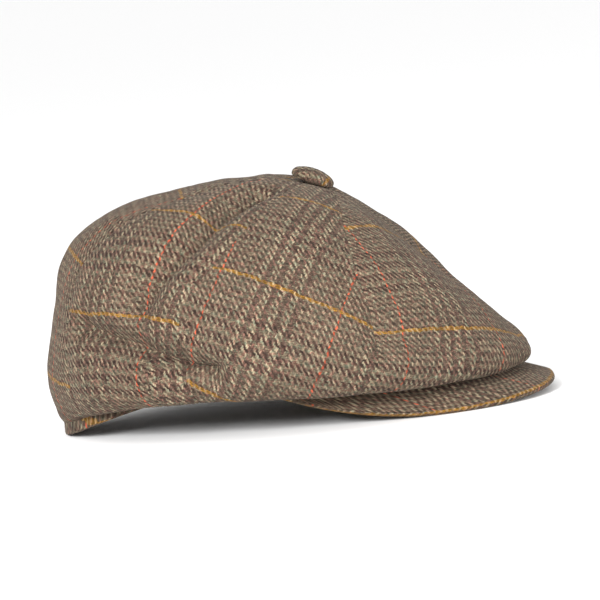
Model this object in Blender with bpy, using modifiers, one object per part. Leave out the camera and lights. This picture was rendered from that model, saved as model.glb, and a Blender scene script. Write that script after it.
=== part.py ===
"""Eight-panel cloth cap with a peak, standing on its back hem and on the corners of the peak.

Metres, +Z up. +X points forward to the peak, +Y to the wearer's left, and the origin is on the surface
below the middle of the cap. A bearing is an angle in plan, 0 degrees at the front, growing to the right side.
"""

import math

import bmesh
import bpy
import numpy as np
from mathutils import Vector

# Head opening, for a head 58 cm round
OPENING_LENGTH = 0.2136
OPENING_WIDTH = 0.156

# Crown without its puff: its height, and its fullness as shares of the opening's length and width
CROWN_HEIGHT = 0.133
CROWN_LONGER = 1.236
CROWN_WIDER = 1.5385
CROWN_LENGTH = CROWN_LONGER * OPENING_LENGTH
CROWN_WIDTH = CROWN_WIDER * OPENING_WIDTH

# Middle of the crown along X, and how far the opening's middle lies behind it
CROWN_CENTRE_X = -0.022 * CROWN_LENGTH
OPENING_SHIFT = -0.0735 * CROWN_LENGTH

# Cloth and sewing
CLOTH = 0.002
SEAM_GAP = 0.001
PIECE_GAP = 0.0003

# Binding round the head opening
BAND_HEIGHT = 0.006
BAND_THICKNESS = 0.002
BAND_STEPS = 96
BAND_SEAT = 0.0008

# Button, its shank, and the hole in the crown that the shank passes
BUTTON_DIAMETER = 0.024
BUTTON_HEIGHT = 0.008
BUTTON_TILT_DEG = 25.0
BUTTON_AHEAD = 0.081 * CROWN_LENGTH
BUTTON_SEAT = 0.0012
SHANK_DIAMETER = 0.005
SHANK_LENGTH = 0.005
SHANK_CLEARANCE = 0.0025
BUTTON_RISE_SHARE = 0.928
BUTTON_DOME_SHARE = 0.65
BUTTON_FOOT_SHARE = 0.92
BUTTON_DOME_STEPS = 6
BUTTON_TURN_STEPS = 20

# Peak: its reach in front of the opening, its rim in plan, and how its rim rises to the corners and tip
PEAK_REACH = 0.0575
PEAK_THICKNESS = 0.0035
PEAK_HALF_WIDTH = 0.088
PEAK_FULLNESS = 2.6
PEAK_CORNER_BEARING_DEG = 84.0
PEAK_CORNER_RISE = 0.019
PEAK_CORNER_CURVE = 2.2
PEAK_TIP_RISE = 0.0045
PEAK_LOWEST_SHARE = 0.63
RIM_LEAN_SHARE = 0.75
CROWN_UNDER_SLOPE = 0.6
PEAK_LENGTH_STEPS = 8
PEAK_WIDTH_STEPS = 32

# How the crown narrows in plan towards the front
FRONT_PINCH = 0.14

# Puff in the middle of a panel and dip at its seams, as shares of the panel's width there
PANEL_PUFF = 0.020
SEAM_DIP = 0.008
SEAM_SHARPNESS = 4

# Places above the hem over which the puff and the folds fade out
HEM_FADE_PLACES = 2.0

# Mesh steps of one panel from the apex to the hem, and the widest step round the crown
ROWS = 22
WIDEST_STEP_DEG = 6.0

# Height of the binding's foot at five bearings, as shares of CROWN_HEIGHT above its lowest point
BEARINGS_OF_HEIGHTS = (180.0, 135.0, 90.0, 45.0, 0.0)
FOOT_RISE = (0.0, 0.099, 0.204, 0.194, 0.182)

# Rings of the crown below the button. Lengths along X are shares of CROWN_LENGTH from its middle,
# widths are shares of CROWN_WIDTH, and heights are shares of CROWN_HEIGHT at the same five bearings.
RINGS = (
    # name, back, front, width, high_back, high_back_side, high_side, high_front_side, high_front
    ("crest", -0.031, 0.180, 0.250, 0.980, 0.970, 0.935, 0.872, 0.820),
    ("top", -0.210, 0.281, 0.533, 0.957, 0.928, 0.865, 0.758, 0.630),
    ("shoulder", -0.352, 0.378, 0.783, 0.880, 0.812, 0.720, 0.584, 0.438),
    ("brow", -0.447, 0.455, 0.933, 0.682, 0.612, 0.522, 0.396, 0.290),
    ("widest", -0.495, 0.502, 1.000, 0.288, 0.301, 0.312, 0.222, 0.180),
    ("under", -0.487, 0.476, 0.900, 0.113, 0.158, 0.164, 0.134, 0.138),
)

# Bearing of each seam, in degrees, at the hole, at each ring and at the hem
SEAMS = (
    # name, hole, crest, top, shoulder, brow, widest, under, hem
    ("front_centre", 0.0, 0.0, 0.0, 0.0, 0.0, 0.0, 0.0, 0.0),
    ("right_front", 54.0, 61.0, 66.0, 68.0, 68.0, 69.0, 73.0, 72.0),
    ("right_side", 98.0, 102.0, 103.0, 108.0, 116.0, 116.0, 112.0, 108.0),
    ("right_back", 136.0, 124.0, 116.0, 118.0, 127.0, 126.0, 122.0, 119.0),
    ("back_centre", 172.0, 160.0, 151.0, 155.0, 159.0, 155.0, 153.0, 153.0),
    ("left_back", 218.0, 210.0, 206.0, 205.0, 205.0, 205.0, 205.0, 206.0),
    ("left_side", 262.0, 256.0, 252.0, 250.0, 249.0, 249.0, 250.0, 251.0),
    ("left_front", 308.0, 302.0, 297.0, 294.0, 293.0, 293.0, 293.0, 294.0),
)

# Folds and dents: bearing and place of the start, middle and end, with the width and the depth as shares
# of CROWN_LENGTH. Places count the rings from the hole, at 0, so 1 is the crest and 4.5 is below the brow.
FOLDS = (
    # name, start_bearing, start_ring, mid_bearing, mid_ring, end_bearing, end_ring, width, depth
    ("right_groove", 121.0, 1.4, 121.0, 2.8, 130.0, 4.1, 0.034, 0.026),
    ("right_tuck", 143.0, 4.6, 126.0, 4.7, 108.0, 5.1, 0.026, 0.018),
    ("right_front_dent", 66.0, 4.5, 57.0, 4.6, 48.0, 4.7, 0.045, 0.010),
    ("left_groove", 249.0, 1.8, 246.0, 3.0, 240.0, 4.2, 0.040, 0.014),
    ("left_tuck", 214.0, 4.6, 228.0, 4.7, 246.0, 5.0, 0.030, 0.010),
    ("left_front_dent", 294.0, 4.4, 303.0, 4.6, 312.0, 4.7, 0.045, 0.007),
)
FOLD_STEPS = 10

PANELS = (
    # name, seam it starts at, seam it ends at
    ("panel_front_right", "front_centre", "right_front"),
    ("panel_side_front_right", "right_front", "right_side"),
    ("panel_side_back_right", "right_side", "right_back"),
    ("panel_back_right", "right_back", "back_centre"),
    ("panel_back_left", "back_centre", "left_back"),
    ("panel_side_back_left", "left_back", "left_side"),
    ("panel_side_front_left", "left_side", "left_front"),
    ("panel_front_left", "left_front", "front_centre"),
)

LAST_PLACE = len(RINGS) + 1
HOLE_RADIUS = SHANK_DIAMETER / 2 + SHANK_CLEARANCE
BUTTON_X = CROWN_CENTRE_X + BUTTON_AHEAD
BUTTON_Z = BUTTON_RISE_SHARE * CROWN_HEIGHT

SHARP_ANGLE_DEG = 50.0
CLOTH_ROUGHNESS = 0.95
TWEED_BROWN = (0.235, 0.168, 0.122, 1.0)
BINDING_BROWN = (0.200, 0.142, 0.104, 1.0)


def even_waves(values):
    """Strengths of cos(0), cos(b), cos(2b) and so on that pass through the five heights."""
    bearings = np.radians(BEARINGS_OF_HEIGHTS)
    waves = np.cos(np.outer(bearings, np.arange(len(values))))
    return np.linalg.solve(waves, np.array(values))


FOOT_WAVES = even_waves(FOOT_RISE)
HEIGHT_WAVES = [even_waves(row[4:]) for row in RINGS]


def height_at(waves, bearing):
    return CROWN_HEIGHT * sum(strength * math.cos(order * bearing) for order, strength in enumerate(waves))


def hole_point(bearing):
    """Edge of the hole under the button, in a plane that tilts with the button."""
    tilt = math.radians(BUTTON_TILT_DEG)
    ahead = HOLE_RADIUS * math.cos(bearing)
    return np.array((
        BUTTON_X + ahead * math.cos(tilt),
        -HOLE_RADIUS * math.sin(bearing),
        BUTTON_Z - ahead * math.sin(tilt),
    ))


def ring_point(index, bearing):
    """Point of one ring at a bearing in radians."""
    back, front, width = RINGS[index][1:4]
    middle = CROWN_CENTRE_X + CROWN_LENGTH * (front + back) / 2
    half_length = CROWN_LENGTH * (front - back) / 2
    ahead = max(0.0, math.cos(bearing))
    pinch = 1.0 - FRONT_PINCH * ahead * ahead * (index + 1) / LAST_PLACE
    return np.array((
        middle + half_length * math.cos(bearing),
        -pinch * width * CROWN_WIDTH / 2 * math.sin(bearing),
        height_at(HEIGHT_WAVES[index], bearing),
    ))


def hem_point(bearing):
    """Point of the hem, where the crown's cloth meets the binding round the head opening."""
    return np.array((
        CROWN_CENTRE_X + OPENING_SHIFT + OPENING_LENGTH / 2 * math.cos(bearing),
        -OPENING_WIDTH / 2 * math.sin(bearing),
        BAND_HEIGHT + BAND_SEAT + height_at(FOOT_WAVES, bearing),
    ))


def between(points, place):
    """Smooth curve through a list of points, read at a place counted in points."""
    last = len(points) - 1
    start = min(int(place), last - 1)
    share = place - start
    before = points[start - 1] if start > 0 else 2 * points[0] - points[1]
    after = points[start + 2] if start + 2 <= last else 2 * points[last] - points[last - 1]
    first = points[start]
    second = points[start + 1]
    slope_first = (second - before) / 2
    slope_second = (after - first) / 2
    square = share * share
    cube = square * share
    return (
        (2 * cube - 3 * square + 1) * first
        + (cube - 2 * square + share) * slope_first
        + (3 * square - 2 * cube) * second
        + (cube - square) * slope_second
    )


def smooth_crown(bearing, place):
    """Point of the crown without its puff and folds, at a bearing in radians and a place among the rings."""
    points = [hole_point(bearing)]
    points += [ring_point(index, bearing) for index in range(len(RINGS))]
    points.append(hem_point(bearing))
    return between(points, place)


def outward(bearing, place):
    """Unit vector that points out of the crown."""
    step = 0.02
    low = max(0.0, place - step)
    high = min(LAST_PLACE, place + step)
    down = smooth_crown(bearing, high) - smooth_crown(bearing, low)
    round_crown = smooth_crown(bearing + step, place) - smooth_crown(bearing - step, place)
    normal = np.cross(round_crown, down)
    return normal / np.linalg.norm(normal)


def fold_lines():
    """Each fold as the points along it, with its width and depth in metres."""
    lines = []
    for row in FOLDS:
        bearings = np.radians(np.array((row[1], row[3], row[5])))
        places = np.array((row[2], row[4], row[6]))
        points = []
        for step in range(FOLD_STEPS + 1):
            along = 2.0 * step / FOLD_STEPS
            points.append(smooth_crown(between(bearings, along), between(places, along)))
        lines.append((np.array(points), row[7] * CROWN_LENGTH, row[8] * CROWN_LENGTH))
    return lines


FOLD_LINES = fold_lines()


def fold_depth(point):
    """How far the folds pull a point of the crown inwards."""
    depth = 0.0
    for line, width, deepest in FOLD_LINES:
        starts = line[:-1]
        spans = line[1:] - starts
        shares = ((point - starts) * spans).sum(axis=1) / (spans * spans).sum(axis=1)
        nearest = starts + spans * np.clip(shares, 0.0, 1.0)[:, None]
        distance = np.linalg.norm(point - nearest, axis=1).min()
        depth += deepest * math.exp(-((distance / width) ** 2))
    return depth


def seam_bearing(name, place):
    """Bearing of a seam in radians at a place among the rings."""
    row = next(row for row in SEAMS if row[0] == name)
    return math.radians(between(np.array(row[1:]), place))


def panel_point(start_seam, end_seam, across, place):
    """Point of a panel: across runs from 0 at its first seam to 1 at its second."""
    first = seam_bearing(start_seam, place)
    second = seam_bearing(end_seam, place)
    if second < first:
        second += 2 * math.pi
    bearing = first + (second - first) * across
    base = smooth_crown(bearing, place)
    width = np.linalg.norm(smooth_crown(first, place) - smooth_crown(second, place))
    arch = math.sin(math.pi * across)
    puff = width * (PANEL_PUFF * arch - SEAM_DIP * (1.0 - arch) ** SEAM_SHARPNESS)
    hem_fade = min(1.0, (LAST_PLACE - place) / HEM_FADE_PLACES)
    lift = hem_fade * (puff - fold_depth(base))
    return base + outward(bearing, place) * lift


def seam_inset(start_seam, end_seam, place):
    """Share of a panel's width that its half of the seam gap takes."""
    strip = 0.1
    edge = panel_point(start_seam, end_seam, 0.0, place)
    width = np.linalg.norm(edge - panel_point(start_seam, end_seam, strip, place))
    return strip * SEAM_GAP / 2 / width


def new_material(name, colour):
    material = bpy.data.materials.new(name)
    material.use_nodes = True
    shader = material.node_tree.nodes["Principled BSDF"]
    shader.inputs["Base Color"].default_value = colour
    shader.inputs["Roughness"].default_value = CLOTH_ROUGHNESS
    shader.inputs["Metallic"].default_value = 0.0
    return material


def new_object(name, mesh, collection, material):
    piece = bpy.data.objects.new(name, mesh)
    piece.data.materials.append(material)
    collection.objects.link(piece)
    mesh.shade_smooth()
    mesh.set_sharp_from_angle(angle=math.radians(SHARP_ANGLE_DEG))
    return piece


def grid_mesh(name, rows, closed=False):
    """Open surface through a grid of points. A closed one joins its last column to its first."""
    build = bmesh.new()
    grid = [[build.verts.new(Vector(point)) for point in row] for row in rows]
    columns = len(rows[0])
    for upper, lower in zip(grid, grid[1:]):
        for column in range(columns if closed else columns - 1):
            right = (column + 1) % columns
            build.faces.new((upper[column], lower[column], lower[right], upper[right]))
    mesh = bpy.data.meshes.new(name)
    build.to_mesh(mesh)
    build.free()
    return mesh


def thicken(piece, thickness):
    """Gives an open surface its thickness, half to each side."""
    shell = piece.modifiers.new("Thickness", "SOLIDIFY")
    shell.thickness = thickness
    shell.offset = 0.0
    shell.use_even_offset = True


def make_panel(name, start_seam, end_seam, collection):
    middle = LAST_PLACE - 2
    spread = seam_bearing(end_seam, middle) - seam_bearing(start_seam, middle)
    spread = math.degrees(spread) % 360.0
    columns = max(5, math.ceil(spread / WIDEST_STEP_DEG))
    rows = []
    for row in range(ROWS + 1):
        place = LAST_PLACE * row / ROWS
        inset = seam_inset(start_seam, end_seam, place)
        shares = np.linspace(inset, 1.0 - inset, columns + 1)
        rows.append([panel_point(start_seam, end_seam, share, place) for share in shares])
    panel = new_object(name, grid_mesh(name, rows), collection, new_material(name, TWEED_BROWN))
    thicken(panel, CLOTH)
    return panel


def band_drop(bearing):
    """How far the binding's top edge lies below the hem line, so that it clears the cloth above it."""
    just_above = 0.05
    run = hem_point(bearing) - smooth_crown(bearing, LAST_PLACE - just_above)
    run /= np.linalg.norm(run)
    flat = math.hypot(run[0], run[1])
    climb = max(0.0, run[2])
    return BAND_SEAT + (CLOTH * flat + BAND_THICKNESS * climb) / 2


def make_band(collection):
    """Binding ring: an upright strip from just below the hem down to its foot."""
    rows = []
    for level in (0.0, 0.5, 1.0):
        row = []
        for step in range(BAND_STEPS):
            bearing = 2 * math.pi * step / BAND_STEPS
            point = hem_point(bearing)
            top = point[2] - band_drop(bearing)
            foot = height_at(FOOT_WAVES, bearing)
            point[2] = top + (foot - top) * level
            row.append(point)
        rows.append(row)
    mesh = grid_mesh("hem_band", rows, True)
    band = new_object("hem_band", mesh, collection, new_material("hem_band", BINDING_BROWN))
    thicken(band, BAND_THICKNESS)
    return band


def rim_point(turn):
    """Point of the peak's rim: turn is 0 at the tip and a quarter turn at each corner."""
    corner_x = hem_point(math.radians(PEAK_CORNER_BEARING_DEG))[0]
    length = hem_point(0.0)[0] + PEAK_REACH - corner_x
    power = 2.0 / PEAK_FULLNESS
    ahead = abs(math.cos(turn)) ** power
    if ahead < PEAK_LOWEST_SHARE:
        rise = PEAK_CORNER_RISE * (1.0 - ahead / PEAK_LOWEST_SHARE) ** PEAK_CORNER_CURVE
    else:
        rise = PEAK_TIP_RISE * ((ahead - PEAK_LOWEST_SHARE) / (1.0 - PEAK_LOWEST_SHARE)) ** 2
    return np.array((
        corner_x + length * ahead,
        -PEAK_HALF_WIDTH * math.copysign(abs(math.sin(turn)) ** power, turn),
        RIM_LEAN_SHARE * PEAK_THICKNESS / 2 + rise,
    ))


def root_point(turn):
    """Point of the peak's sewn edge, against the outside of the binding and below the crown's cloth."""
    bearing = turn * PEAK_CORNER_BEARING_DEG / 90.0
    hem = hem_point(bearing)
    rim = rim_point(turn)
    fall = math.atan2(hem[2] - rim[2], math.hypot(*(rim - hem)[:2]))
    out = BAND_THICKNESS / 2 + 2 * PIECE_GAP + PEAK_THICKNESS / 2 * math.sin(fall)
    down = band_drop(bearing) + PEAK_THICKNESS / 2 + out * CROWN_UNDER_SLOPE
    away = hem_point(bearing) - hem_point(bearing + math.pi)
    away[2] = 0.0
    away /= np.linalg.norm(away)
    return hem + away * out - np.array((0.0, 0.0, down))


def peak_rows():
    """Grid of the peak's middle surface, from its sewn edge to its rim."""
    rows = []
    for length_step in range(PEAK_LENGTH_STEPS + 1):
        along = length_step / PEAK_LENGTH_STEPS
        row = []
        for width_step in range(PEAK_WIDTH_STEPS + 1):
            turn = (2.0 * width_step / PEAK_WIDTH_STEPS - 1.0) * math.pi / 2
            root = root_point(turn)
            row.append(root + (rim_point(turn) - root) * along)
        rows.append(row)
    return rows


def make_peak(collection):
    peak = new_object("peak", grid_mesh("peak", peak_rows()), collection, new_material("peak", TWEED_BROWN))
    thicken(peak, PEAK_THICKNESS)
    return peak


def make_button(collection):
    """Domed button on its shank, turned about one upright axis and tilted to the crown."""
    radius = BUTTON_DIAMETER / 2
    shank = SHANK_DIAMETER / 2
    profile = [(0.0, BUTTON_HEIGHT)]
    for step in range(1, BUTTON_DOME_STEPS + 1):
        turn = math.pi / 2 * step / BUTTON_DOME_STEPS
        height = BUTTON_HEIGHT * (1.0 - BUTTON_DOME_SHARE * (1.0 - math.cos(turn)))
        profile.append((radius * math.sin(turn), height))
    profile.append((radius * BUTTON_FOOT_SHARE, 0.0))
    profile += [(shank, 0.0), (shank, -SHANK_LENGTH), (0.0, -SHANK_LENGTH)]
    build = bmesh.new()
    verts = [build.verts.new((reach, 0.0, height)) for reach, height in profile]
    for first, second in zip(verts, verts[1:]):
        build.edges.new((first, second))
    mesh = bpy.data.meshes.new("button")
    build.to_mesh(mesh)
    build.free()
    button = new_object("button", mesh, collection, new_material("button", TWEED_BROWN))
    turned = button.modifiers.new("Turned", "SCREW")
    turned.steps = BUTTON_TURN_STEPS
    turned.render_steps = BUTTON_TURN_STEPS
    turned.use_merge_vertices = True
    turned.merge_threshold = 0.00001
    tilt = math.radians(BUTTON_TILT_DEG)
    lift = CLOTH / 2 + BUTTON_SEAT
    button.rotation_euler = (0.0, tilt, 0.0)
    button.location = (BUTTON_X + lift * math.sin(tilt), 0.0, BUTTON_Z + lift * math.cos(tilt))
    return button


def main():
    for old in list(bpy.data.objects):
        bpy.data.objects.remove(old, do_unlink=True)
    collection = bpy.data.collections.new("flat_cap")
    bpy.context.scene.collection.children.link(collection)
    for name, start_seam, end_seam in PANELS:
        make_panel(name, start_seam, end_seam, collection)
    make_band(collection)
    make_peak(collection)
    make_button(collection)


main()
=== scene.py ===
"""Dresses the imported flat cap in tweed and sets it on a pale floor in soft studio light."""

import math

import bmesh
import bpy
import numpy as np
from mathutils import Matrix, Vector, noise


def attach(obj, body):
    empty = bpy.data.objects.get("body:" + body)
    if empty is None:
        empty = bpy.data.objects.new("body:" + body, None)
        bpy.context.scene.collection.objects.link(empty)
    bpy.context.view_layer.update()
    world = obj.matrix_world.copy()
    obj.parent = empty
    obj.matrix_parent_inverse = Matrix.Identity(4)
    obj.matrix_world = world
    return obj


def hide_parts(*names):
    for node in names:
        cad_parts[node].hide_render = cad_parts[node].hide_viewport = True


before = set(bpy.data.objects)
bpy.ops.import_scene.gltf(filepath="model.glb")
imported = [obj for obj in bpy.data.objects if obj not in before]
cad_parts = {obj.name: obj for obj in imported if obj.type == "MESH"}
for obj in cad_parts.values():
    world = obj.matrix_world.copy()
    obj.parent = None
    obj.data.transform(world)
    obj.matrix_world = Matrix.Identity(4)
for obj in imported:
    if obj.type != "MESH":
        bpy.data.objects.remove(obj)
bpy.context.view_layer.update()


# The crown: eight panels of wool tweed about 2 mm thick, each with the check running up it, sewn edge to
# edge with the turnings left standing inside. The seams are pulled in by their stitches, and the loose
# cloth falls into soft folds behind the ear and dents above the peak.

CROWN_LENGTH = 0.264
CROWN_WIDTH = 0.240
CROWN_HEIGHT = 0.133
CROWN_CENTRE_X = -0.0058
OPENING_LENGTH = 0.2136
OPENING_WIDTH = 0.156
OPENING_SHIFT = -0.0194
CLOTH = 0.0019
BAND_HEIGHT = 0.006
BAND_SEAT = 0.0008
FRONT_PINCH = 0.14
PANEL_PUFF = 0.016
SEAM_DIP = 0.002
HOLE_RADIUS = 0.005
BUTTON_TILT = math.radians(25.0)
BUTTON_AHEAD = 0.0214
BUTTON_RISE_SHARE = 0.928
BUTTON_X = CROWN_CENTRE_X + BUTTON_AHEAD
BUTTON_Z = BUTTON_RISE_SHARE * CROWN_HEIGHT

BEARINGS_OF_HEIGHTS = np.radians((180.0, 135.0, 90.0, 45.0, 0.0))
FOOT_RISE = (0.0, 0.099, 0.204, 0.194, 0.182)
RINGS = (
    # back, front, width, then the height at five bearings from the back to the front
    (-0.031, 0.180, 0.250, 0.980, 0.970, 0.935, 0.872, 0.820),
    (-0.210, 0.281, 0.533, 0.957, 0.928, 0.865, 0.758, 0.630),
    (-0.352, 0.378, 0.783, 0.880, 0.812, 0.720, 0.584, 0.438),
    (-0.447, 0.455, 0.933, 0.682, 0.612, 0.522, 0.396, 0.290),
    (-0.495, 0.502, 1.000, 0.288, 0.301, 0.312, 0.222, 0.180),
    (-0.487, 0.476, 0.900, 0.113, 0.158, 0.164, 0.134, 0.138),
)
SEAMS = {
    # bearing in degrees at the hole, at each ring and at the hem
    "front_centre": (0.0, 0.0, 0.0, 0.0, 0.0, 0.0, 0.0, 0.0),
    "right_front": (54.0, 61.0, 66.0, 68.0, 68.0, 69.0, 73.0, 72.0),
    "right_side": (98.0, 102.0, 103.0, 108.0, 116.0, 116.0, 112.0, 108.0),
    "right_back": (136.0, 124.0, 116.0, 118.0, 127.0, 126.0, 122.0, 119.0),
    "back_centre": (172.0, 160.0, 151.0, 155.0, 159.0, 155.0, 153.0, 153.0),
    "left_back": (218.0, 210.0, 206.0, 205.0, 205.0, 205.0, 205.0, 206.0),
    "left_side": (262.0, 256.0, 252.0, 250.0, 249.0, 249.0, 250.0, 251.0),
    "left_front": (308.0, 302.0, 297.0, 294.0, 293.0, 293.0, 293.0, 294.0),
}
FOLDS = (
    # bearing and ring of the start, middle and end, then the width and depth as shares of the length
    (121.0, 1.4, 121.0, 2.8, 130.0, 4.1, 0.034, 0.026),
    (150.0, 4.45, 130.0, 4.6, 108.0, 5.1, 0.030, 0.033),
    (66.0, 4.5, 57.0, 4.6, 48.0, 4.7, 0.045, 0.013),
    (249.0, 1.8, 246.0, 3.0, 240.0, 4.2, 0.040, 0.014),
    (214.0, 4.6, 228.0, 4.7, 246.0, 5.0, 0.030, 0.010),
    (294.0, 4.4, 303.0, 4.6, 312.0, 4.7, 0.045, 0.007),
)
PANELS = (
    # node, seams, and how the check lies on it: shift across and along in millimetres, turn in degrees
    ("panel_front_right", "front_centre", "right_front", 3.6, 59.2, 3.0),
    ("panel_side_front_right", "right_front", "right_side", 38.6, 68.3, 12.0),
    ("panel_side_back_right", "right_side", "right_back", 14.4, 35.2, 0.0),
    ("panel_back_right", "right_back", "back_centre", 35.7, 35.1, -13.0),
    ("panel_back_left", "back_centre", "left_back", 14.4, 50.3, 2.0),
    ("panel_side_back_left", "left_back", "left_side", 10.0, 38.0, 6.0),
    ("panel_side_front_left", "left_side", "left_front", 18.0, 61.0, -5.0),
    ("panel_front_left", "left_front", "front_centre", 8.0, 57.0, -3.0),
)
LAST_PLACE = len(RINGS) + 1
PANEL_ROWS = 150
PANEL_COLUMNS = 60
FOLD_STEPS = 10
HOLLOW_SHARE = 1.2
CREASE_SHARE = 0.20
CREASE_WIDTH_SHARE = 0.28
SEAM_SHARPNESS = 4
HEM_FADE_PLACES = 2.0
NORMAL_STEP = 0.02


def even_waves(values):
    """Strengths of the cosine waves round the crown that pass through the five heights."""
    waves = np.cos(np.outer(BEARINGS_OF_HEIGHTS, np.arange(len(values))))
    return np.linalg.solve(waves, np.array(values))


FOOT_WAVES = even_waves(FOOT_RISE)
HEIGHT_WAVES = [even_waves(row[3:]) for row in RINGS]


def height_at(waves, bearing):
    """Height above the surface at a bearing, from the strengths of the waves."""
    return CROWN_HEIGHT * sum(strength * np.cos(order * bearing) for order, strength in enumerate(waves))


def hole_point(bearing):
    """Point of the small hole under the tilted button, where the panels meet."""
    ahead = HOLE_RADIUS * np.cos(bearing)
    return np.stack((
        BUTTON_X + ahead * math.cos(BUTTON_TILT),
        -HOLE_RADIUS * np.sin(bearing),
        BUTTON_Z - ahead * math.sin(BUTTON_TILT),
    ), axis=-1)


def ring_point(index, bearing):
    """Point of one ring of the table, narrowed a little towards the front."""
    back, front, width = RINGS[index][:3]
    middle = CROWN_CENTRE_X + CROWN_LENGTH * (front + back) / 2
    half_length = CROWN_LENGTH * (front - back) / 2
    ahead = np.maximum(0.0, np.cos(bearing))
    pinch = 1.0 - FRONT_PINCH * ahead * ahead * (index + 1) / LAST_PLACE
    return np.stack((
        middle + half_length * np.cos(bearing),
        -pinch * width * CROWN_WIDTH / 2 * np.sin(bearing),
        height_at(HEIGHT_WAVES[index], bearing),
    ), axis=-1)


def hem_point(bearing):
    """Point of the crown's hem, where the binding takes it."""
    return np.stack((
        CROWN_CENTRE_X + OPENING_SHIFT + OPENING_LENGTH / 2 * np.cos(bearing),
        -OPENING_WIDTH / 2 * np.sin(bearing),
        BAND_HEIGHT + BAND_SEAT + height_at(FOOT_WAVES, bearing),
    ), axis=-1)


def between(points, place):
    """Smooth curve through a list of points, read at a place counted in points."""
    last = len(points) - 1
    start = min(int(place), last - 1)
    share = place - start
    before = points[start - 1] if start > 0 else 2 * points[0] - points[1]
    after = points[start + 2] if start + 2 <= last else 2 * points[last] - points[last - 1]
    first = points[start]
    second = points[start + 1]
    square = share * share
    cube = square * share
    return (
        (2 * cube - 3 * square + 1) * first
        + (cube - 2 * square + share) * (second - before) / 2
        + (3 * square - 2 * cube) * second
        + (cube - square) * (after - first) / 2
    )


def smooth_crown(bearing, place):
    """Points of the crown without puff and folds, at bearings in radians and one place among the rings."""
    points = [hole_point(bearing)]
    points += [ring_point(index, bearing) for index in range(len(RINGS))]
    points.append(hem_point(bearing))
    return between(points, place)


def outward(bearing, place):
    """Unit vectors that point out of the crown."""
    low = max(0.0, place - NORMAL_STEP)
    high = min(LAST_PLACE, place + NORMAL_STEP)
    down = smooth_crown(bearing, high) - smooth_crown(bearing, low)
    round_crown = smooth_crown(bearing + NORMAL_STEP, place) - smooth_crown(bearing - NORMAL_STEP, place)
    normal = np.cross(round_crown, down)
    return normal / np.linalg.norm(normal, axis=-1, keepdims=True)


def fold_lines():
    """Each fold as the points along it, with its width and depth in metres."""
    lines = []
    for row in FOLDS:
        bearings = np.radians(np.array(row[0:6:2]))
        places = np.array(row[1:6:2])
        points = []
        for step in range(FOLD_STEPS + 1):
            along = 2.0 * step / FOLD_STEPS
            points.append(smooth_crown(between(bearings, along), between(places, along)))
        lines.append((np.array(points), row[6] * CROWN_LENGTH, row[7] * CROWN_LENGTH))
    return lines


FOLD_LINES = fold_lines()


def fold_depth(points):
    """How far the folds pull points of the crown inwards. Each has a soft hollow with a crease in it."""
    depth = np.zeros(len(points))
    for line, width, deepest in FOLD_LINES:
        starts = line[:-1]
        spans = line[1:] - starts
        reach = points[:, None, :] - starts[None]
        shares = (reach * spans).sum(axis=2) / (spans * spans).sum(axis=1)
        nearest = starts + spans * np.clip(shares, 0.0, 1.0)[..., None]
        distance = np.linalg.norm(points[:, None, :] - nearest, axis=2).min(axis=1)
        depth += HOLLOW_SHARE * deepest * np.exp(-((distance / width) ** 2))
        depth += CREASE_SHARE * deepest * np.exp(-((distance / (CREASE_WIDTH_SHARE * width)) ** 2))
    return depth


def seam_bearing(name, place):
    """Bearing of a named seam at a place among the rings, in radians."""
    return math.radians(between(np.array(SEAMS[name]), place))


PUCKER_DEPTH = 0.00022
PUCKER_LENGTH = 0.0012
PUCKER_DRIFT = 2.3
PUCKER_DRIFT_LENGTH = 0.011
PUCKER_FROM_SEAM = 0.0035
PUCKER_REACH = 0.0045


def seam_pucker(along, from_seam, seed):
    """Small ripples where the stitches draw the cloth up, along a seam and dying out away from it."""
    drift = PUCKER_DRIFT * math.sin(along / PUCKER_DRIFT_LENGTH + seed)
    ripple = np.sin(along / PUCKER_LENGTH + drift + seed)
    return PUCKER_DEPTH * ripple * np.exp(-((from_seam - PUCKER_FROM_SEAM) / PUCKER_REACH) ** 2)


SOFT_WAVES = (
    # waves in a metre, their height in metres, and where in the noise they are read
    (26.0, 0.0022, (0.0, 0.0, 0.0)),
    (62.0, 0.0007, (7.0, 3.0, 1.0)),
    (150.0, 0.0002, (2.0, 9.0, 4.0)),
)


def soft_waves(points):
    """Uneven lie of worn cloth: broad waves with smaller ones on them."""
    lift = np.zeros(len(points))
    for index, point in enumerate(points):
        for in_a_metre, height, shift in SOFT_WAVES:
            lift[index] += height * noise.noise(Vector(point) * in_a_metre + Vector(shift))
    return lift


# Turned edge of a panel: how far from the seam line each column stands, and how deep it lies
EDGE_ROLL = 0.0006
ROLL_STEPS = 5
TURNING = 0.006
PRESSED_SHARE = 0.42
PRESSED = PRESSED_SHARE * CLOTH / 2
WIDEST_EDGE_SHARE = 0.30
EDGE_PROFILE = [(PRESSED, TURNING), (PRESSED, 0.5 * TURNING)]
for roll_step in range(ROLL_STEPS + 1):
    roll_turn = math.pi / 2 * (1.0 - roll_step / ROLL_STEPS)
    EDGE_PROFILE.append((
        PRESSED + EDGE_ROLL * (1.0 - math.sin(roll_turn)),
        EDGE_ROLL * (1.0 - math.cos(roll_turn)),
    ))


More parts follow.
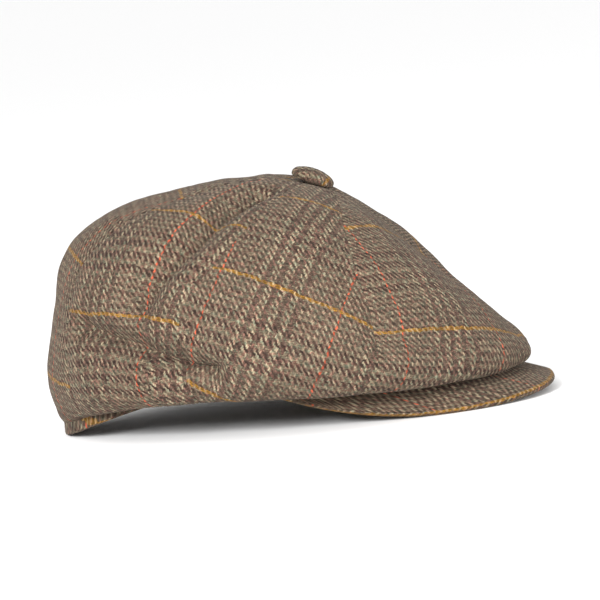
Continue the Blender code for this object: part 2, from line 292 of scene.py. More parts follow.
def panel_grid(start_seam, end_seam, seed):
    """Rows of points over one panel from the hole to the hem, turned in at both seams."""
    rows = []
    along = 0.0
    before = None
    for row in range(PANEL_ROWS + 1):
        place = LAST_PLACE * row / PANEL_ROWS
        first = seam_bearing(start_seam, place)
        second = seam_bearing(end_seam, place)
        if second <= first:
            second += 2 * math.pi
        ends = smooth_crown(np.array((first, second)), place)
        width = np.linalg.norm(ends[1] - ends[0])
        if before is not None:
            along += np.linalg.norm(ends.mean(axis=0) - before)
        before = ends.mean(axis=0)
        fit = min(1.0, WIDEST_EDGE_SHARE * width / EDGE_PROFILE[-1][0])
        edge_shares = [fit * reach / width for reach, _ in EDGE_PROFILE]
        edge_depths = [fit * depth for _, depth in EDGE_PROFILE]
        middle = np.linspace(edge_shares[-1], 1.0 - edge_shares[-1], PANEL_COLUMNS + 1)[1:-1]
        shares = np.concatenate((edge_shares, middle, 1.0 - np.array(edge_shares[::-1])))
        depths = np.concatenate((edge_depths, np.zeros(len(middle)), edge_depths[::-1]))
        bearing = first + (second - first) * shares
        base = smooth_crown(bearing, place)
        arch = np.sin(math.pi * shares)
        hem_fade = min(1.0, (LAST_PLACE - place) / HEM_FADE_PLACES)
        hole_fade = min(1.0, place)
        from_seam = np.minimum(shares, 1.0 - shares) * width
        lift = width * (PANEL_PUFF * arch - SEAM_DIP * (1.0 - arch) ** SEAM_SHARPNESS) - fold_depth(base)
        lift += hole_fade * (soft_waves(base) + seam_pucker(along, from_seam, seed))
        rows.append(base + outward(bearing, place) * (hem_fade * lift - depths)[:, None])
    return np.array(rows)


# The tweed: a glen check in 2/2 twill, woven from flecked wool. Warp and weft both run four dark threads
# and four light ones in a broad band, then two and two in a fine one, where the yarns are nearer in tone.
# A rust thread runs up the warp and a pair of mustard threads across the weft.

THREAD = 0.90
TWILL_THREADS = 4.0
REPEAT = 76.0
BROAD_BAND = 32.0
RUST_THREAD = 53.0
MUSTARD_THREADS = (53.0, 54.0)
ONE_THREAD_REACH = 0.4
TWO_THREAD_REACH = 0.9
DARK_YARN = (0.043, 0.027, 0.020, 1.0)
LIGHT_YARN = (0.156, 0.125, 0.081, 1.0)
ROSE_FLECK = (0.127, 0.055, 0.041, 1.0)
MOSS_FLECK = (0.084, 0.095, 0.065, 1.0)
RUST_YARN = (0.228, 0.044, 0.021, 1.0)
MUSTARD_YARN = (0.225, 0.112, 0.018, 1.0)
SHEEN_TINT = (0.80, 0.72, 0.62, 1.0)
SHEEN = 0.05
SHEEN_ROUGHNESS = 0.45
SHINE = 0.12

# How far threads wander from straight, in millimetres, and how often they do it in each millimetre
WANDER = 2.4
WANDER_OFTEN = 0.09
JITTER = 1.3
JITTER_OFTEN = 0.55
WARP_SEEDS = (3.0, 29.0, 5.0)
WEFT_SEEDS = (17.0, 41.0, 9.0)

# In each band, how dark its light threads are and how much darker its dark ones
BROAD_TONES = (0.05, 0.90)
FINE_TONES = (0.25, 0.50)

# Flecks: the noise at which each starts, the noise at which it is full, and how full it gets
ROSE_IN_LIGHT = (0.53, 0.66, 0.75)
MOSS_IN_LIGHT = (0.47, 0.34, 0.80)
DARK_IN_LIGHT = (0.45, 0.72, 0.55)
ROSE_IN_DARK = (0.48, 0.70, 0.60)
FLECK_LENGTH = 1.5
YARN_APART = 7.3
WEFT_APART = 500.0
HUE_OFTEN = 0.60

# How much of the coloured yarns shows where they lie on top, and where other threads cross over them
RUST_COVER = 0.9
RUST_THROUGH = 0.22
MUSTARD_COVER = 0.95
MUSTARD_THROUGH = 0.35

# Painted shade and tones: the gaps between yarns and the hollows between twill ribs are darkened in the
# colour as painted shade, and loose fibre, single floats and wear each add a tone of their own
GAP_SHADE_RISE = (0.05, 0.80, 0.34)
GAP_SHADE_TONE = 0.72
FIBRE_OFTEN = 2.0
FIBRE_SWING = 0.3
RIB_SHADE_SWING = 0.46
FLOAT_SWING = 0.80
WEAR_OFTEN = 0.035
WEAR_SWING = 0.3
RIB_RELIEF = 0.35
FIBRE_RELIEF = 0.5
RELIEF_STRENGTH = 0.4
YARN_RELIEF = 0.0005
ROUGHNESS = 0.84
ROUGHNESS_SWING = 0.12


def tweed(name, shade):
    """Material for the tweed, read from the cloth's own millimetres. shade sets how light it is."""
    material = bpy.data.materials.new(name)
    material.use_nodes = True
    nodes = material.node_tree.nodes
    links = material.node_tree.links
    shader = nodes["Principled BSDF"]

    def put(socket, value):
        if isinstance(value, bpy.types.NodeSocket):
            links.new(value, socket)
        else:
            socket.default_value = value

    def sum_of(operation, first, second=0.0, third=0.0):
        node = nodes.new("ShaderNodeMath")
        node.operation = operation
        for socket, value in zip(node.inputs, (first, second, third)):
            put(socket, value)
        return node.outputs[0]

    def blend(amount, first, second):
        node = nodes.new("ShaderNodeMix")
        node.data_type = "RGBA"
        put(node.inputs[0], amount)
        put(node.inputs[6], first)
        put(node.inputs[7], second)
        return node.outputs[2]

    def cloud(vector, often, detail):
        node = nodes.new("ShaderNodeTexNoise")
        node.inputs["Scale"].default_value = often
        node.inputs["Detail"].default_value = detail
        links.new(vector, node.inputs["Vector"])
        return node.outputs["Fac"]

    def joined(x, y, z):
        node = nodes.new("ShaderNodeCombineXYZ")
        for socket, value in zip(node.inputs, (x, y, z)):
            put(socket, value)
        return node.outputs[0]

    def share_of(value, start, full, most):
        node = nodes.new("ShaderNodeMapRange")
        put(node.inputs[0], value)
        node.inputs[1].default_value = start
        node.inputs[2].default_value = full
        return sum_of("MULTIPLY", node.outputs[0], most)

    place = nodes.new("ShaderNodeUVMap")
    place.uv_map = "weave"
    split = nodes.new("ShaderNodeSeparateXYZ")
    links.new(place.outputs[0], split.inputs[0])

    def moved(start, seed, often, detail, reach):
        drift = cloud(joined(split.outputs[0], split.outputs[1], seed), often, detail)
        return sum_of("MULTIPLY_ADD", sum_of("SUBTRACT", drift, 0.5), reach, start)

    across = moved(split.outputs[0], WARP_SEEDS[0], WANDER_OFTEN, 2.0, WANDER)
    across = moved(across, WARP_SEEDS[1], JITTER_OFTEN, 0.0, JITTER)
    along = moved(split.outputs[1], WEFT_SEEDS[0], WANDER_OFTEN, 2.0, WANDER)
    along = moved(along, WEFT_SEEDS[1], JITTER_OFTEN, 0.0, JITTER)
    warp_place = sum_of("DIVIDE", across, THREAD)
    weft_place = sum_of("DIVIDE", along, THREAD)
    warp_number = sum_of("FLOOR", warp_place)
    weft_number = sum_of("FLOOR", weft_place)
    in_warp = sum_of("FRACT", warp_place)
    in_weft = sum_of("FRACT", weft_place)

    # 2/2 twill: the warp passes over two wefts and under two, one thread further at each
    crossed = sum_of("ADD", warp_number, weft_number)
    twill = sum_of("FLOORED_MODULO", crossed, TWILL_THREADS)
    warp_on_top = sum_of("LESS_THAN", twill, 1.5)

    def on_face(warp, weft):
        return sum_of("MULTIPLY_ADD", sum_of("SUBTRACT", warp, weft), warp_on_top, weft)

    # Rounded height of a yarn, used for the bump and for the painted shade that darkens the colour in the
    # gaps between yarns and at the ends of floats
    def yarn_height(in_yarn, in_float):
        rounded = sum_of("SINE", sum_of("MULTIPLY", in_yarn, math.pi))
        bowed = sum_of("SINE", sum_of("MULTIPLY", in_float, math.pi / 2))
        return sum_of("MULTIPLY", rounded, sum_of("MULTIPLY_ADD", bowed, 0.5, 0.5))

    warp_height = yarn_height(in_warp, sum_of("ADD", twill, in_weft))
    weft_height = yarn_height(in_weft, sum_of("ADD", sum_of("SUBTRACT", twill, 2.0), in_warp))
    height = on_face(warp_height, weft_height)

    # The warp floats stand up as slanting ribs across the cloth. Their relief goes into the bump, and is
    # also painted into the colour as painted light on their crests and painted shade between them
    slant = sum_of("SUBTRACT", sum_of("ADD", warp_place, weft_place), 1.5)
    rib = sum_of("COSINE", sum_of("MULTIPLY", slant, math.pi / 2))

    def dark_share(in_repeat, count, lightest, step):
        dark = sum_of("LESS_THAN", sum_of("FLOORED_MODULO", in_repeat, 2.0 * count), count - 0.5)
        return sum_of("MULTIPLY_ADD", dark, step, lightest)

    def colour_order(number):
        in_repeat = sum_of("FLOORED_MODULO", number, REPEAT)
        broad = sum_of("LESS_THAN", in_repeat, BROAD_BAND)
        fours = dark_share(in_repeat, 4.0, *BROAD_TONES)
        pairs = dark_share(in_repeat, 2.0, *FINE_TONES)
        return in_repeat, sum_of("MULTIPLY_ADD", sum_of("SUBTRACT", fours, pairs), broad, pairs)

    warp_in_repeat, warp_dark = colour_order(warp_number)
    weft_in_repeat, weft_dark = colour_order(weft_number)

    # Mixed wool: each yarn is flecked along its length
    warp_apart = sum_of("MULTIPLY", warp_number, YARN_APART)
    weft_apart = sum_of("MULTIPLY", weft_number, YARN_APART)
    warp_fleck = cloud(joined(warp_apart, sum_of("DIVIDE", along, FLECK_LENGTH), WARP_SEEDS[2]), 1.0, 1.0)
    weft_fleck = cloud(joined(sum_of("DIVIDE", across, FLECK_LENGTH), weft_apart, WEFT_SEEDS[2]), 1.0, 1.0)
    fleck = on_face(warp_fleck, weft_fleck)
    hue = cloud(joined(across, along, fleck), HUE_OFTEN, 1.0)
    light = blend(share_of(hue, *ROSE_IN_LIGHT), LIGHT_YARN, ROSE_FLECK)
    light = blend(share_of(hue, *MOSS_IN_LIGHT), light, MOSS_FLECK)
    light = blend(share_of(fleck, *DARK_IN_LIGHT), light, DARK_YARN)
    dark = blend(share_of(fleck, *ROSE_IN_DARK), DARK_YARN, ROSE_FLECK)

    # Each float of yarn that comes to the face has a tone of its own
    def tone_of(number):
        node = nodes.new("ShaderNodeTexWhiteNoise")
        node.noise_dimensions = "2D"
        floats = sum_of("FLOOR", sum_of("DIVIDE", crossed, TWILL_THREADS))
        links.new(joined(number, floats, 0.0), node.inputs["Vector"])
        return node.outputs["Value"]

    tone = on_face(tone_of(warp_number), tone_of(sum_of("ADD", weft_number, WEFT_APART)))

    rust = sum_of("COMPARE", warp_in_repeat, RUST_THREAD, ONE_THREAD_REACH)
    mustard = sum_of("COMPARE", weft_in_repeat, sum(MUSTARD_THREADS) / 2, TWO_THREAD_REACH)
    warp_colour = blend(warp_dark, light, dark)
    warp_colour = blend(sum_of("MULTIPLY", mustard, MUSTARD_THROUGH), warp_colour, MUSTARD_YARN)
    warp_colour = blend(sum_of("MULTIPLY", rust, RUST_COVER), warp_colour, RUST_YARN)
    weft_colour = blend(weft_dark, light, dark)
    weft_colour = blend(sum_of("MULTIPLY", rust, RUST_THROUGH), weft_colour, RUST_YARN)
    weft_colour = blend(sum_of("MULTIPLY", mustard, MUSTARD_COVER), weft_colour, MUSTARD_YARN)
    colour = blend(warp_on_top, weft_colour, warp_colour)

    fibre = cloud(place.outputs[0], FIBRE_OFTEN, 2.0)
    wear = cloud(place.outputs[0], WEAR_OFTEN, 1.0)
    # Painted shade: the colour is darkened where the yarns dip into the gaps between them, then the painted
    # shade of the ribs and the fibre, float and wear tones are multiplied in
    shaded = sum_of("ADD", share_of(height, *GAP_SHADE_RISE), GAP_SHADE_TONE)
    for part, swing, least in (
        (fibre, FIBRE_SWING, 1.0 - FIBRE_SWING / 2),
        # painted light and shade across the twill ribs
        (rib, RIB_SHADE_SWING, 1.0),
        (tone, FLOAT_SWING, 1.0 - FLOAT_SWING / 2),
        (wear, WEAR_SWING, shade - WEAR_SWING / 2),
    ):
        shaded = sum_of("MULTIPLY", shaded, sum_of("MULTIPLY_ADD", part, swing, least))
    whole = nodes.new("ShaderNodeVectorMath")
    whole.operation = "SCALE"
    links.new(colour, whole.inputs[0])
    links.new(shaded, whole.inputs["Scale"])
    links.new(whole.outputs[0], shader.inputs["Base Color"])

    relief = sum_of("MULTIPLY_ADD", rib, RIB_RELIEF, sum_of("MULTIPLY_ADD", fibre, FIBRE_RELIEF, height))
    bump = nodes.new("ShaderNodeBump")
    bump.inputs["Strength"].default_value = RELIEF_STRENGTH
    bump.inputs["Distance"].default_value = YARN_RELIEF
    links.new(relief, bump.inputs["Height"])
    links.new(bump.outputs[0], shader.inputs["Normal"])
    links.new(sum_of("MULTIPLY_ADD", fibre, ROUGHNESS_SWING, ROUGHNESS), shader.inputs["Roughness"])
    shader.inputs["Sheen Weight"].default_value = SHEEN
    shader.inputs["Sheen Roughness"].default_value = SHEEN_ROUGHNESS
    shader.inputs["Sheen Tint"].default_value = SHEEN_TINT
    shader.inputs["Specular IOR Level"].default_value = SHINE
    return material


# The panels again, now as cloth: each is laid flat as its paper pattern to find how the check runs over
# it, dressed in the tweed, and sewn down to the binding.

TWEED = tweed("tweed", 1.0)
MILLIMETRES = 1000.0
PATTERN_ROWS = 26
PATTERN_COLUMNS = 13
EASING_ROUNDS = 1500
PUCKER_SEED_STEP = 1.7
EDGE_COLUMNS = len(EDGE_PROFILE) - 1
EDGE_STEPS = np.linalg.norm(np.diff(np.array(EDGE_PROFILE), axis=0), axis=1)


def flattened(points):
    """Lays a curved panel flat, as its paper pattern, by easing it until its threads keep their lengths."""
    steps = ((0, 1), (1, 0), (1, 1), (1, -1), (0, 2), (2, 0))
    rows, columns = points.shape[:2]
    middle = columns // 2
    flat = np.zeros((rows, columns, 2))
    down = np.linalg.norm(np.diff(points[:, middle], axis=0), axis=1)
    flat[1:, :, 1] = np.cumsum(down)[:, None]
    across = np.concatenate(
        (np.zeros((rows, 1)), np.cumsum(np.linalg.norm(np.diff(points, axis=1), axis=2), axis=1)), axis=1
    )
    flat[..., 0] = across - across[:, middle:middle + 1]
    pairs = []
    for step_down, step_across in steps:
        first = (slice(0, rows - step_down), slice(max(0, -step_across), columns - max(0, step_across)))
        second = (slice(step_down, rows), slice(max(0, step_across), columns - max(0, -step_across)))
        pairs.append((first, second, np.linalg.norm(points[second] - points[first], axis=2)))
    for _ in range(EASING_ROUNDS):
        move = np.zeros_like(flat)
        count = np.zeros((rows, columns, 1))
        for first, second, length in pairs:
            span = flat[second] - flat[first]
            now = np.linalg.norm(span, axis=2)
            pull = (0.5 * (now - length) / np.maximum(now, 1e-9))[..., None] * span
            move[first] += pull
            move[second] -= pull
            count[first] += 1
            count[second] += 1
        flat += move / count
    axis = flat[-1, middle] - flat[0, middle]
    turn = math.atan2(axis[0], axis[1])
    turned = np.array(((math.cos(turn), math.sin(turn)), (-math.sin(turn), math.cos(turn))))
    return (flat - flat[0, middle]) @ turned


def resampled(coarse, row_places, column_places, rows, columns):
    """Reads a coarse grid at every row and column of the fine one."""
    down = np.empty((rows, coarse.shape[1], 2))
    for column in range(coarse.shape[1]):
        for part in range(2):
            down[:, column, part] = np.interp(np.arange(rows), row_places, coarse[:, column, part])
    full = np.empty((rows, columns, 2))
    for row in range(rows):
        for part in range(2):
            full[row, :, part] = np.interp(np.arange(columns), column_places, down[row, :, part])
    return full


def woven_mesh(name, rows, weave, rows_join=False, columns_join=False, capped=False):
    """Surface through a grid of points, with the place of each on the cloth in millimetres.

    rows_join and columns_join carry it on from the last to the first, where weave has one row or column
    more. capped closes its two open rings.
    """
    build = bmesh.new()
    layer = build.loops.layers.uv.new("weave")
    grid = [[build.verts.new(Vector(point)) for point in row] for row in rows]
    row_count = len(grid)
    column_count = len(grid[0])
    for row in range(row_count if rows_join else row_count - 1):
        for column in range(column_count if columns_join else column_count - 1):
            corners = ((row, column), (row + 1, column), (row + 1, column + 1), (row, column + 1))
            points = [grid[down % row_count][across % column_count] for down, across in corners]
            face = build.faces.new(points)
            face.smooth = True
            for loop, (down, across) in zip(face.loops, corners):
                loop[layer].uv = weave[down][across]
    if capped:
        ends = [[row[place] for row in grid] for place in (0, -1)] if rows_join else (grid[0], grid[-1])
        for ring in ends:
            build.faces.new(ring)
        bmesh.ops.recalc_face_normals(build, faces=build.faces)
    mesh = bpy.data.meshes.new(name)
    build.to_mesh(mesh)
    build.free()
    return mesh


def placed_piece(name, mesh, material, node, place=(0.0, 0.0, 0.0), tilt=0.0):
    """A piece that rides with the cap in place of its CAD node."""
    piece = bpy.data.objects.new(name, mesh)
    piece.location = place
    piece.rotation_euler = (0.0, tilt, 0.0)
    bpy.context.scene.collection.objects.link(piece)
    mesh.materials.append(material)
    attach(piece, "root")
    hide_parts(node)
    return piece


def thicken(piece, thickness):
    """Gives a surface the thickness of its cloth, half on each side."""
    shell = piece.modifiers.new("Thickness", "SOLIDIFY")
    shell.thickness = thickness
    shell.offset = 0.0
    shell.use_even_offset = False


def panel_pattern(rows):
    """Flat pattern of a panel with its turned edges, in metres."""
    face_rows = rows[:, EDGE_COLUMNS:-EDGE_COLUMNS]
    row_places = np.unique(np.linspace(0, PANEL_ROWS, PATTERN_ROWS).astype(int))
    column_places = np.unique(np.linspace(0, face_rows.shape[1] - 1, PATTERN_COLUMNS).astype(int))
    pattern = flattened(face_rows[row_places][:, column_places])
    paper = resampled(pattern, row_places, column_places + EDGE_COLUMNS, *rows.shape[:2])
    for column in range(EDGE_COLUMNS):
        paper[:, column, 0] -= EDGE_STEPS[column:].sum()
        paper[:, -1 - column, 0] += EDGE_STEPS[column:].sum()
    return paper


for panel_number, (panel_name, panel_start, panel_end, shift_across, shift_along, lean) in enumerate(PANELS):
    panel_rows = panel_grid(panel_start, panel_end, PUCKER_SEED_STEP * panel_number)
    paper = panel_pattern(panel_rows)
    lean = math.radians(lean)
    laid = np.array(((math.cos(lean), math.sin(lean)), (-math.sin(lean), math.cos(lean))))
    panel_weave = MILLIMETRES * paper @ laid + np.array((shift_across, shift_along))
    panel = placed_piece(
        "tweed_" + panel_name, woven_mesh(panel_name, panel_rows, panel_weave), TWEED, panel_name
    )
    thicken(panel, CLOTH)


# The button: a domed disc covered with a round of the same tweed, drawn tight and gathered under it, and
# sewn down on its shank over the hole where the eight panels meet.

BUTTON_RADIUS = 0.012
BUTTON_HEIGHT = 0.008
BUTTON_SEAT = 0.0012
BUTTON_SHIFT = (24.0, 40.2)
BUTTON_TURNS = 96
BUTTON_DOME_STEPS = 24
BUTTON_DOME_SHARE = 0.65
BUTTON_MIDDLE = (0.0003, 1.0)
BUTTON_UNDERSIDE = (
    # share of the radius, share of the height
    (0.995, 0.22),
    (0.96, 0.12),
    (0.90, 0.05),
    (0.80, 0.02),
    (0.55, 0.03),
    (0.3, 0.04),
    (0.22, -0.3),
)
GATHERS = 14
GATHER_DEPTH = 0.010
GATHER_START = 0.75
OUT_OF_ROUND = 0.012
OUT_OF_ROUND_TURN = 0.7
GATHER_DRIFT = 1.3
BUTTON_LUMPS = 0.00018
LUMPS_OFTEN = 1.6
LUMP_STRETCH = 4.0
LUMP_SEED = 2.0


def button_rows():
    """Rings of the covered dome from its middle, over the edge and in under it, with gathers below."""
    profile = [BUTTON_MIDDLE]
    for step in range(1, BUTTON_DOME_STEPS + 1):
        turn = math.pi / 2 * step / BUTTON_DOME_STEPS
        profile.append((math.sin(turn), 1.0 - BUTTON_DOME_SHARE + BUTTON_DOME_SHARE * math.cos(turn)))
    profile += BUTTON_UNDERSIDE
    rows = []
    weave = []
    reach = 0.0
    before = profile[0]
    for share, height in profile:
        reach += math.hypot((share - before[0]) * BUTTON_RADIUS, (height - before[1]) * BUTTON_HEIGHT)
        before = (share, height)
        edge = max(0.0, share - GATHER_START) / (1.0 - GATHER_START)
        row = []
        cloth = []
        for step in range(BUTTON_TURNS + 1):
            angle = 2 * math.pi * step / BUTTON_TURNS
            drift = GATHER_DRIFT * math.sin(3 * angle)
            gather = 1.0 + GATHER_DEPTH * edge * math.sin(GATHERS * angle + drift)
            oval = 1.0 + OUT_OF_ROUND * math.sin(2 * angle + OUT_OF_ROUND_TURN)
            radius = share * BUTTON_RADIUS * gather * oval
            lump_place = Vector((angle, share * LUMP_STRETCH, LUMP_SEED)) * LUMPS_OFTEN
            lump = BUTTON_LUMPS * noise.noise(lump_place)
            row.append((radius * math.cos(angle), radius * math.sin(angle), height * BUTTON_HEIGHT + lump))
            cloth.append((
                MILLIMETRES * reach * math.sin(angle) + BUTTON_SHIFT[0],
                MILLIMETRES * reach * math.cos(angle) + BUTTON_SHIFT[1],
            ))
        rows.append(row[:-1])
        weave.append(cloth)
    return rows, weave


button_lift = CLOTH / 2 + BUTTON_SEAT
placed_piece(
    "tweed_button",
    woven_mesh("button", *button_rows(), columns_join=True, capped=True),
    TWEED,
    "button",
    (BUTTON_X + button_lift * math.sin(BUTTON_TILT), 0.0, BUTTON_Z + button_lift * math.cos(BUTTON_TILT)),
    BUTTON_TILT,
)


# The hem binding: a strip of tweed cut a little off the weft, folded over the raw edge of the crown and
# sewn through, with its two ends butted near the back seam. A mustard thread runs off its edge there.

BAND_THICKNESS = 0.002
BAND_STEPS = 480
BAND_LAP = 0.0012
BAND_SECTION = 20
BAND_JOIN = math.radians(153.0)
BAND_GIRTH = 17.0
BAND_LINE = 47.0
BAND_SLANT = 0.175
BAND_SHADE = 0.9
FACE_ROUNDNESS = 0.6
EDGE_ROUNDNESS = 0.35
CLOTH_ROOM = 0.002
RUN_PLACES = 0.05
JOIN_SWELL = 0.45
JOIN_WIDTH = 0.0030
CUT_DEPTH = 0.75
CUT_WIDTH = 0.0006
STITCH_PULL = 0.05
STITCH_LENGTH = 0.0032
BAND_WAVES = (
    # height, length and start
    (0.00018, 0.0053, 0.0),
    (0.00012, 0.0017, 1.0),
)


def band_drop(bearing):
    """How far the binding's top edge lies below the hem line, so that it clears the cloth above it."""
    run = hem_point(bearing) - smooth_crown(bearing, LAST_PLACE - RUN_PLACES)
    run /= np.linalg.norm(run)
    flat = math.hypot(run[0], run[1])
    climb = max(0.0, run[2])
    return BAND_SEAT + (CLOTH_ROOM * flat + BAND_THICKNESS * climb) / 2


def band_rows():
    """Round section of the folded strip, carried round the opening with a light pull at each stitch."""
    section = []
    for step in range(BAND_SECTION):
        turn = math.pi * (2 * step / BAND_SECTION - 1)
        out = math.copysign(abs(math.cos(turn)) ** FACE_ROUNDNESS, math.cos(turn))
        section.append((out, math.copysign(abs(math.sin(turn)) ** EDGE_ROUNDNESS, math.sin(turn))))
    rows = [[] for _ in range(BAND_SECTION)]
    weave = [[] for _ in range(BAND_SECTION + 1)]
    around = 0.0
    before = hem_point(0.0)
    for step in range(BAND_STEPS + 1):
        bearing = 2 * math.pi * step / BAND_STEPS
        hem = hem_point(bearing)
        around += np.linalg.norm(hem - before)
        before = hem
        top = hem[2] + BAND_LAP
        foot = height_at(FOOT_WAVES, bearing)
        away = np.array((math.cos(bearing) / OPENING_LENGTH, -math.sin(bearing) / OPENING_WIDTH, 0.0))
        away /= np.linalg.norm(away)
        from_join = OPENING_LENGTH / 2 * (bearing - BAND_JOIN)
        swell = JOIN_SWELL * math.exp(-((from_join / JOIN_WIDTH) ** 2))
        swell -= CUT_DEPTH * math.exp(-((from_join / CUT_WIDTH) ** 2))
        pull = STITCH_PULL * (0.5 + 0.5 * math.cos(2 * math.pi * around / STITCH_LENGTH))
        wave = sum(height * math.sin(around / length + start) for height, length, start in BAND_WAVES)
        for place, (out, up) in enumerate(section):
            point = hem + away * (out * (1.0 - pull + swell) * BAND_THICKNESS / 2 + wave)
            point[2] = (top + foot) / 2 + up * (top - foot) / 2
            if step < BAND_STEPS:
                rows[place].append(point)
        line = BAND_LINE - BAND_SLANT * MILLIMETRES * from_join
        for place in range(BAND_SECTION + 1):
            weave[place].append((MILLIMETRES * around, line + BAND_GIRTH * (place / BAND_SECTION - 0.5)))
    return rows, weave


placed_piece(
    "tweed_hem_band",
    woven_mesh("hem_band", *band_rows(), rows_join=True, columns_join=True),
    tweed("tweed_binding", BAND_SHADE),
    "hem_band",
)


# The peak: a curved board covered above and below with tweed, its two covers turned in and seamed
# round the rim, and its root sewn to the outside of the binding under the front of the crown.

PEAK_REACH = 0.0575
PEAK_THICKNESS = 0.0035
PEAK_HALF_WIDTH = 0.088
PEAK_FULLNESS = 2.6
PEAK_CORNER_BEARING = math.radians(84.0)
PEAK_CORNER_RISE = 0.019
PEAK_CORNER_CURVE = 2.2
PEAK_TIP_RISE = 0.0045
PEAK_LOWEST_SHARE = 0.63
RIM_LEAN_SHARE = 0.75
RIM_STEPS = 8
RIM_SWELL = 0.10
RIM_INSET_SHARE = 0.5
CROWN_UNDER_SLOPE = 0.6
PIECE_GAP = 0.0003
PEAK_LINE = 49.2
PEAK_LINE_INSET = 3.5
PEAK_LINE_SPAN = 0.030
PEAK_LINE_SLANT = 0.020
PEAK_LENGTH_STEPS = 48
PEAK_WIDTH_STEPS = 200
PEAK_ROW_CROWDING = 0.9


def rim_point(turn):
    """Point of the peak's rim: turn is 0 at the tip and a quarter turn at each corner."""
    corner_x = hem_point(PEAK_CORNER_BEARING)[0]
    length = hem_point(0.0)[0] + PEAK_REACH - corner_x
    power = 2.0 / PEAK_FULLNESS
    ahead = abs(math.cos(turn)) ** power
    if ahead < PEAK_LOWEST_SHARE:
        rise = PEAK_CORNER_RISE * (1.0 - ahead / PEAK_LOWEST_SHARE) ** PEAK_CORNER_CURVE
    else:
        rise = PEAK_TIP_RISE * ((ahead - PEAK_LOWEST_SHARE) / (1.0 - PEAK_LOWEST_SHARE)) ** 2
    return np.array((
        corner_x + length * ahead,
        -PEAK_HALF_WIDTH * math.copysign(abs(math.sin(turn)) ** power, turn),
        RIM_LEAN_SHARE * PEAK_THICKNESS / 2 + rise,
    ))


def root_point(turn):
    """Point of the peak's sewn edge, against the outside of the binding and below the crown's cloth."""
    bearing = turn * PEAK_CORNER_BEARING / (math.pi / 2)
    hem = hem_point(bearing)
    rim = rim_point(turn)
    fall = math.atan2(hem[2] - rim[2], math.hypot(*(rim - hem)[:2]))
    out = BAND_THICKNESS / 2 + 2 * PIECE_GAP + PEAK_THICKNESS / 2 * math.sin(fall)
    down = band_drop(bearing) + PEAK_THICKNESS / 2 + out * CROWN_UNDER_SLOPE
    away = hem_point(bearing) - hem_point(bearing + math.pi)
    away[2] = 0.0
    away /= np.linalg.norm(away)
    return hem + away * out - np.array((0.0, 0.0, down))


def peak_sheet():
    """Middle surface of the peak, and its unit normals."""
    turns = (2.0 * np.arange(PEAK_WIDTH_STEPS + 1) / PEAK_WIDTH_STEPS - 1.0) * math.pi / 2
    roots = np.array([root_point(turn) for turn in turns])
    rims = np.array([rim_point(turn) for turn in turns])
    shares = np.linspace(0.0, 1.0, PEAK_LENGTH_STEPS + 1) ** PEAK_ROW_CROWDING
    sheet = roots[None] + (rims - roots)[None] * shares[:, None, None]
    normal = np.cross(np.gradient(sheet, axis=0), np.gradient(sheet, axis=1))
    normal /= np.maximum(np.linalg.norm(normal, axis=2, keepdims=True), 1e-12)
    if normal[..., 2].mean() < 0:
        normal = -normal
    return sheet, normal


def peak_skin():
    """Both covers as one skin round the board, from the root over the rounded rim and back."""
    sheet, normal = peak_sheet()
    half = PEAK_THICKNESS / 2
    past_rim = sheet[-1] - sheet[-2]
    past_rim /= np.maximum(np.linalg.norm(past_rim, axis=1, keepdims=True), 1e-12)
    rows = [sheet[row] + normal[row] * half for row in range(PEAK_LENGTH_STEPS)]
    for step in range(RIM_STEPS + 1):
        turn = math.pi / 2 - math.pi * step / RIM_STEPS
        swell = 1.0 + RIM_SWELL * math.cos(turn)
        rows.append(
            sheet[-1]
            + past_rim * (half * math.cos(turn) - half * RIM_INSET_SHARE)
            + normal[-1] * half * swell * math.sin(turn)
        )
    rows += [sheet[row] - normal[row] * half for row in range(PEAK_LENGTH_STEPS - 1, -1, -1)]
    return np.array(rows)


def peak_weave(rows):
    """Places on the cloth. The check follows the rim, and its mustard thread runs off it at the sides."""
    across = np.linalg.norm(np.diff(rows, axis=1), axis=2).cumsum(axis=1)
    across = np.concatenate((np.zeros((len(rows), 1)), across), axis=1)
    across -= across[:, PEAK_WIDTH_STEPS // 2, None]
    along = np.linalg.norm(np.diff(rows, axis=0), axis=2).cumsum(axis=0)
    along = np.concatenate((np.zeros((1, PEAK_WIDTH_STEPS + 1)), along), axis=0)
    along = np.abs(along - along[PEAK_LENGTH_STEPS + RIM_STEPS // 2])
    along += PEAK_LINE_SLANT * np.maximum(0.0, np.abs(across) - PEAK_LINE_SPAN)
    weave = np.stack((MILLIMETRES * across, PEAK_LINE - PEAK_LINE_INSET + MILLIMETRES * along), axis=-1)
    return np.concatenate((weave, weave[:1]))


peak_rows = peak_skin()
placed_piece(
    "tweed_peak",
    woven_mesh("peak", peak_rows, peak_weave(peak_rows), rows_join=True, capped=True),
    TWEED,
    "peak",
)


# The studio: a plain pale floor under a white surround, a soft key light low on the left of the camera,
# a weaker one from the front, and the camera almost level with the cap on its right side.

FLOOR_HALF = 60.0
FLOOR_PAINT = (0.93, 0.93, 0.93, 1.0)
FLOOR_ROUGHNESS = 0.9
SURROUND_STRENGTH = 1.03
LIGHT_AIM = (0.0, 0.0, 0.06)
LIGHTS = (
    # name, place, width of the disc in metres, and power in watts
    ("key", (-0.6, -1.8, 0.75), 0.6, 62.0),
    ("front_fill", (1.3, -1.4, 0.4), 1.0, 24.0),
)
ELEVATION = math.radians(6.0)
ROLL = math.radians(5.7)
DISTANCE = 2.4
PICTURE_WIDTH = 600 * 0.000555
SENSOR_WIDTH = 36.0
AIM_RIGHT = -0.0021
AIM_UP = 0.0608

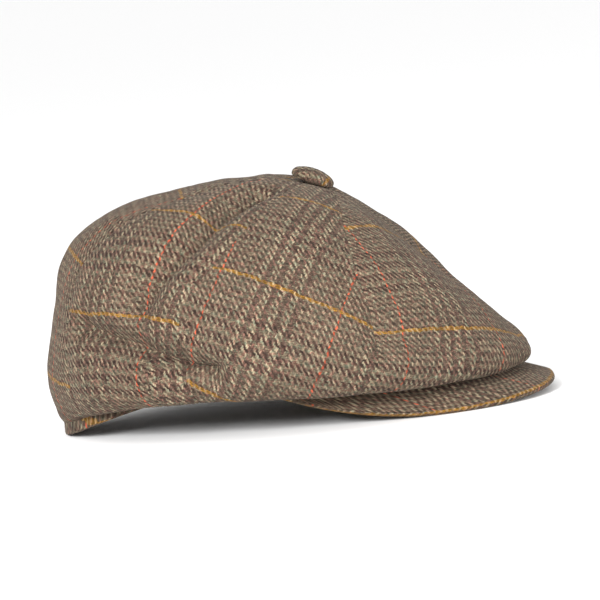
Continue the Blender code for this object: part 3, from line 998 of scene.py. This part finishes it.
floor_mesh = bpy.data.meshes.new("floor")
floor_points = []
for side, end in ((-1, -1), (1, -1), (1, 1), (-1, 1)):
    floor_points.append((side * FLOOR_HALF, end * FLOOR_HALF, 0))
floor_mesh.from_pydata(floor_points, [], [(0, 1, 2, 3)])
floor = bpy.data.objects.new("floor", floor_mesh)
bpy.context.scene.collection.objects.link(floor)
floor_paint = bpy.data.materials.new("floor_paint")
floor_paint.use_nodes = True
floor_shader = floor_paint.node_tree.nodes["Principled BSDF"]
floor_shader.inputs["Base Color"].default_value = FLOOR_PAINT
floor_shader.inputs["Roughness"].default_value = FLOOR_ROUGHNESS
floor_mesh.materials.append(floor_paint)

world = bpy.data.worlds.new("surround")
bpy.context.scene.world = world
world.use_nodes = True
world.node_tree.nodes["Background"].inputs["Color"].default_value = (1.0, 1.0, 1.0, 1.0)
world.node_tree.nodes["Background"].inputs["Strength"].default_value = SURROUND_STRENGTH

for light_name, light_place, light_width, light_power in LIGHTS:
    lamp = bpy.data.lights.new(light_name, "AREA")
    lamp.shape = "DISK"
    lamp.size = light_width
    lamp.energy = light_power
    light = bpy.data.objects.new(light_name, lamp)
    light.location = light_place
    light.rotation_euler = (Vector(LIGHT_AIM) - Vector(light_place)).to_track_quat("-Z", "Y").to_euler()
    bpy.context.scene.collection.objects.link(light)

forward = Vector((0.0, math.cos(ELEVATION), -math.sin(ELEVATION)))
right = Vector((1.0, 0.0, 0.0))
upward = right.cross(forward)
rolled_right = right * math.cos(ROLL) - upward * math.sin(ROLL)
rolled_up = upward * math.cos(ROLL) + right * math.sin(ROLL)
camera_data = bpy.data.cameras.new("camera")
camera_data.sensor_width = SENSOR_WIDTH
camera_data.lens = SENSOR_WIDTH * DISTANCE / PICTURE_WIDTH
camera = bpy.data.objects.new("camera", camera_data)
bpy.context.scene.collection.objects.link(camera)
camera.rotation_mode = "QUATERNION"
camera_axes = Matrix([[rolled_right[axis], rolled_up[axis], -forward[axis]] for axis in range(3)])
camera.rotation_quaternion = camera_axes.to_quaternion()
camera.location = -forward * DISTANCE + rolled_right * AIM_RIGHT + rolled_up * AIM_UP
bpy.context.scene.camera = camera
bpy.context.scene.view_settings.view_transform = "Standard"
